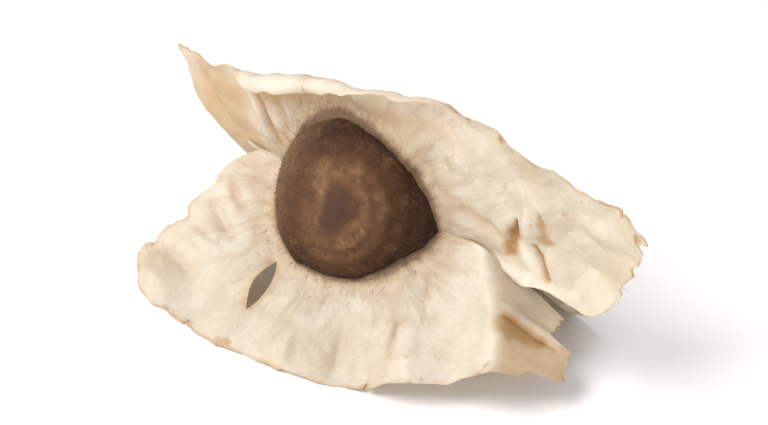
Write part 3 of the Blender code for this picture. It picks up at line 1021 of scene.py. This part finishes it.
def threads_tree():
    """Lays tapered threads on a skin, most where a named value is high, along its away field."""
    tree, add, given = new_tree("threads_on_skin", String=("Where",), Float=(
        "Threads Per Area", "Length", "Thickness", "Lift", "Stray", "Arch",
    ), Int=("Seed",), Material=("Thread",))
    where, away = (
        add("GeometryNodeInputNamedAttribute", {"Name": name}, data_type=kind)
        for name, kind in ((given["Where"], "FLOAT"), ("away", "FLOAT_VECTOR"))
    )
    density = add("ShaderNodeMath", {0: where, 1: given["Threads Per Area"]}, operation="MULTIPLY")
    spread = add("GeometryNodeDistributePointsOnFaces", {
        0: given["Geometry"], "Density": density, "Seed": given["Seed"],
    })
    facing = add("GeometryNodeCaptureAttribute", {0: spread})
    facing.capture_items.new("VECTOR", "Facing")
    tree.links.new(spread.outputs["Normal"], facing.inputs[1])

    # Each thread leans out of the skin a little and strays from the away field
    side = add("FunctionNodeRandomValue", {
        "Min": (-1.0, -1.0, -1.0), "Max": (1.0, 1.0, 1.0), "Seed": given["Seed"],
    }, data_type="FLOAT_VECTOR")
    run = away
    for push, label in ((facing.outputs[1], "Lift"), (side, "Stray")):
        pushed = add("ShaderNodeVectorMath", {0: push, "Scale": given[label]}, operation="SCALE")
        run = add("ShaderNodeVectorMath", {0: run, 1: pushed}, operation="ADD")
    turn = add("FunctionNodeAxesToRotation", {
        "Primary Axis": run, "Secondary Axis": facing.outputs[1],
    }, primary_axis="Z", secondary_axis="X")
    roll = add("FunctionNodeRandomValue", {
        2: -1.1, 3: 1.1, "Seed": given["Seed"],
    }, data_type="FLOAT").outputs[1]
    roll = add("ShaderNodeCombineXYZ", {2: roll})
    roll = add("FunctionNodeEulerToRotation", {0: roll})
    rolled = add("FunctionNodeRotateRotation", {0: turn, 1: roll}, rotation_space="LOCAL")

    # One thread is a thin cone with three sides of length, bowed into an arch
    cone = add("GeometryNodeMeshCone", {
        "Vertices": 4, "Side Segments": 3, "Fill Segments": 1,
        "Radius Top": 0.12, "Radius Bottom": 0.5, "Depth": 1.0,
    })
    place = add("GeometryNodeInputPosition")
    up = add("ShaderNodeSeparateXYZ", {0: place}).outputs[2]
    bow = add("ShaderNodeMath", {0: up, 1: math.pi}, operation="MULTIPLY")
    bow = add("ShaderNodeMath", {0: bow}, operation="SINE")
    bow = add("ShaderNodeMath", {0: bow, 1: given["Arch"]}, operation="MULTIPLY")
    sideways = add("ShaderNodeCombineXYZ", {0: bow})
    arched = add("GeometryNodeSetPosition", {0: cone, "Offset": sideways})

    # Each thread has its own length and shade, drawn from seeds of their own
    length_seed, shade_seed = (
        add("ShaderNodeMath", {0: given["Seed"], 1: step}, operation="ADD")
        for step in (3.0, 7.0)
    )
    length = add("FunctionNodeRandomValue", {
        2: 0.35, 3: 1.0, "Seed": length_seed,
    }, data_type="FLOAT").outputs[1]
    length = add("ShaderNodeMath", {0: length, 1: given["Length"]}, operation="MULTIPLY")
    size = add("ShaderNodeCombineXYZ", {0: given["Thickness"], 1: given["Thickness"], 2: length})
    placed = add("GeometryNodeInstanceOnPoints", {
        0: facing, "Instance": arched, "Rotation": rolled, "Scale": size,
    })
    shade = add("FunctionNodeRandomValue", {"Seed": shade_seed}, data_type="FLOAT").outputs[1]
    shaded = add("GeometryNodeStoreNamedAttribute", {
        0: placed, "Name": "thread_shade", "Value": shade,
    }, data_type="FLOAT", domain="INSTANCE")
    close_tree(add, shaded, given["Thread"])
    return tree


def grow(name, skin, tree, values):
    """A new piece: what a Geometry Nodes tree makes of a copy of a skin."""
    made = new_object(name, skin.data.copy())
    modifier = made.modifiers.new(name, "NODES")
    modifier.node_group = tree
    set_inputs(modifier, tree, values)
    apply_modifiers(made)
    made.data.shade_smooth()
    return made


def hull_place(pole, side, up):
    """A place on the hull, in millimetres from its middle, for a place on a ball of radius one."""
    girth = math.hypot(side, up)
    turn = math.atan2(up, side) - math.radians(UPPER_ANGLE)
    corner = HULL_CORNER_SHARE * math.cos(3.0 * turn) * girth ** 2
    half = HULL_POINTED_HALF if pole > 0.0 else HULL_BLUNT_HALF
    point = 1.0 + HULL_POINT_SHARE * max(pole, 0.0) ** 8
    radius = 0.5 * HULL_WIDTH * (1.0 + corner) * (1.0 - HULL_NARROWING * max(pole, 0.0) ** 2)
    return Vector((half * pole * point, radius * side, radius * up))


def ring_gap(here, middle):
    """How far a place on the hull lies from a ring's middle, which is stretched girthwise."""
    stretch = 1.0 - RING_CENTRE_STRETCH * (1.0 - smooth_step((here - middle).length, 0.8, 3.0))
    return math.hypot(1.1 * (here.x - middle.x), (here - middle).yz.length * stretch)


def hull_skin(shift):
    """The hull's form before its relief, with its rings and the run of its nap as values."""
    bm = bmesh.new()
    bmesh.ops.create_icosphere(bm, subdivisions=HULL_FINENESS, radius=1.0)
    turns = [math.radians(angle) for angle in RING_CENTRE_ANGLES]
    middles = [
        Vector((RING_CENTRE_X, RING_CENTRE_OUT * math.cos(turn), RING_CENTRE_OUT * math.sin(turn)))
        for turn in turns
    ]
    rings, naps, aways, hairs = [], [], [], []
    for vert in bm.verts:
        side, up, pole = vert.co
        here = hull_place(pole, side, up)
        gaps = [ring_gap(here, middle) for middle in middles]
        nearest, second = sorted(gaps)[:2]
        ring = nearest - 0.25 * math.exp(-(second - nearest) / 0.6)
        middle = middles[gaps.index(nearest)]
        local = here - middle
        girthwise = Vector((0.0, -middle.z, middle.y)).normalized()
        spin = math.atan2(local.dot(girthwise), local.x)
        rings.append(ring)
        naps.append((spin * 1.7, ring * 0.35, gaps.index(nearest) * 9.0))
        aways.append((local + here * 0.2).normalized())
        hairs.append(0.35 + 0.65 * smooth_step(ring, 2.5, 4.5))
        vert.co = (here + Vector((0.0, 0.0, AXIS_HEIGHT)) + shift) * MM
    bm.normal_update()
    bmesh.ops.recalc_face_normals(bm, faces=bm.faces)
    made = new_piece("hull", [], [])
    bm.to_mesh(made.data)
    bm.free()
    keep_values(made.data, "FLOAT", ring=rings, hairy=hairs)
    keep_values(made.data, "FLOAT_VECTOR", nap_place=naps, away=aways)
    return made


def studio():
    """A plain pale floor, an even pale surround and two soft lights, the stronger from the left."""
    floor = new_piece("floor", [
        (x * FLOOR_HALF, y * FLOOR_HALF, 0.0) for x, y in ((-1, -1), (1, -1), (1, 1), (-1, 1))
    ], [(0, 1, 2, 3)])
    material, _, shader = new_material("plain_pale_floor")
    fill_inputs(shader, {"Base Color": linear("#f7f5f3"), "Roughness": 0.9})
    floor.data.materials.append(material)
    world = bpy.data.worlds.new("pale_surround")
    world.use_nodes = True
    fill_inputs(world.node_tree.nodes["Background"], {"Color": linear("#fbfaff"), "Strength": 0.5})
    bpy.context.scene.world = world
    for name, place, size, power in (
        ("soft_key", (-0.165, -0.16, 0.33), 0.3, 1.6),
        ("soft_fill", (0.10, -0.36, 0.16), 0.25, 0.6),
    ):
        light = bpy.data.lights.new(name, "AREA")
        light.shape = "DISK"
        light.size = size
        light.energy = power
        put_up(name, light, Vector(place), Vector((0.0, 0.0, 5.0 * MM)))
    bpy.context.scene.view_settings.view_transform = "Standard"


def portrait_camera(pieces):
    """A long lens at the photograph's angle, centred on the seed as it appears from there."""
    azimuth, elevation = math.radians(VIEW_AZIMUTH), math.radians(VIEW_ELEVATION)
    back = Vector((
        math.sin(azimuth) * math.cos(elevation),
        -math.cos(azimuth) * math.cos(elevation),
        math.sin(elevation),
    ))
    right = Vector((math.cos(azimuth), math.sin(azimuth), 0.0))
    up = back.cross(right)
    corners = [vert.co for piece in pieces for vert in piece.data.vertices]
    aim = Vector((0.0, 0.0, 0.0))
    for axis in (right, up):
        places = [corner.dot(axis) for corner in corners]
        aim += axis * (min(places) + max(places)) * 0.5
    data = bpy.data.cameras.new("portrait")
    data.lens = LENS
    data.clip_start = 0.01
    data.clip_end = 20.0
    distance = FRAME_WIDTH * MM * data.lens / data.sensor_width
    bpy.context.scene.camera = put_up("portrait", data, aim + back * distance, aim)


hull_low, hull_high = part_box("seed_hull")
SHIFT = Vector((hull_low.x / MM + HULL_BLUNT_HALF, (hull_low.y + hull_high.y) / 2.0 / MM, 0.0))
draw = random.Random(SEED)
wings = [
    UpperWing("upper_wing", UPPER_RIBS, UPPER_ANGLE, draw),
    FrontWing("front_wing", FRONT_RIBS, FRONT_ANGLE, draw),
    BackWing("back_wing", BACK_RIBS, BACK_ANGLE, draw),
]
membrane = membrane_material()
thread = threads_tree()
root_fibre = fibre_material("frayed_root_fibre", "#7d6247", "#b89e7b")
torn_fibre = fibre_material("torn_membrane_fibre", "#b98f58", "#e6d2a6")
nap_fibre = fibre_material("husk_nap_fibre", "#3d2a1d", "#6d5139")

pieces = []
for wing in wings:
    sheet = wing_piece(wing, SHIFT, membrane)
    rooted = grow(f"{wing.name}_root_fibres", sheet, thread, {
        "Where": "rooted", "Threads Per Area": 22.0 / MM ** 2, "Length": 0.5 * MM,
        "Thickness": 0.02 * MM, "Lift": 0.06, "Stray": 0.4, "Arch": 2.0,
        "Seed": 11 + wing.number, "Thread": root_fibre,
    })
    torn = grow(f"{wing.name}_torn_fibres", sheet, thread, {
        "Where": "torn", "Threads Per Area": 9.0 / MM ** 2, "Length": 0.45 * MM,
        "Thickness": 0.03 * MM, "Lift": 0.1, "Stray": 0.7, "Arch": 1.5,
        "Seed": 31 + wing.number, "Thread": torn_fibre,
    })
    for piece in (sheet, rooted, torn):
        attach(piece, "root")
        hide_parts("wings")
        pieces.append(piece)

skin = hull_skin(SHIFT)
hull = grow("hull_husk", skin, husk_relief_tree(), {
    "Lump Size": 2.6 * MM, "Lump Height": 0.5 * MM, "Ring Spacing": 1.15,
    "Ring Height": 0.045 * MM, "Nap Size": 0.3, "Nap Height": 0.14 * MM, "Husk": husk_material(),
})
bpy.data.objects.remove(skin, do_unlink=True)
nap = grow("hull_nap", hull, thread, {
    "Where": "hairy", "Threads Per Area": 10.0 / MM ** 2, "Length": 0.4 * MM,
    "Thickness": 0.024 * MM, "Lift": 0.12, "Stray": 0.5, "Arch": 1.6,
    "Seed": 51, "Thread": nap_fibre,
})
for piece in (hull, nap):
    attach(piece, "root")
    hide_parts("seed_hull")
    pieces.append(piece)

studio()
portrait_camera(pieces)
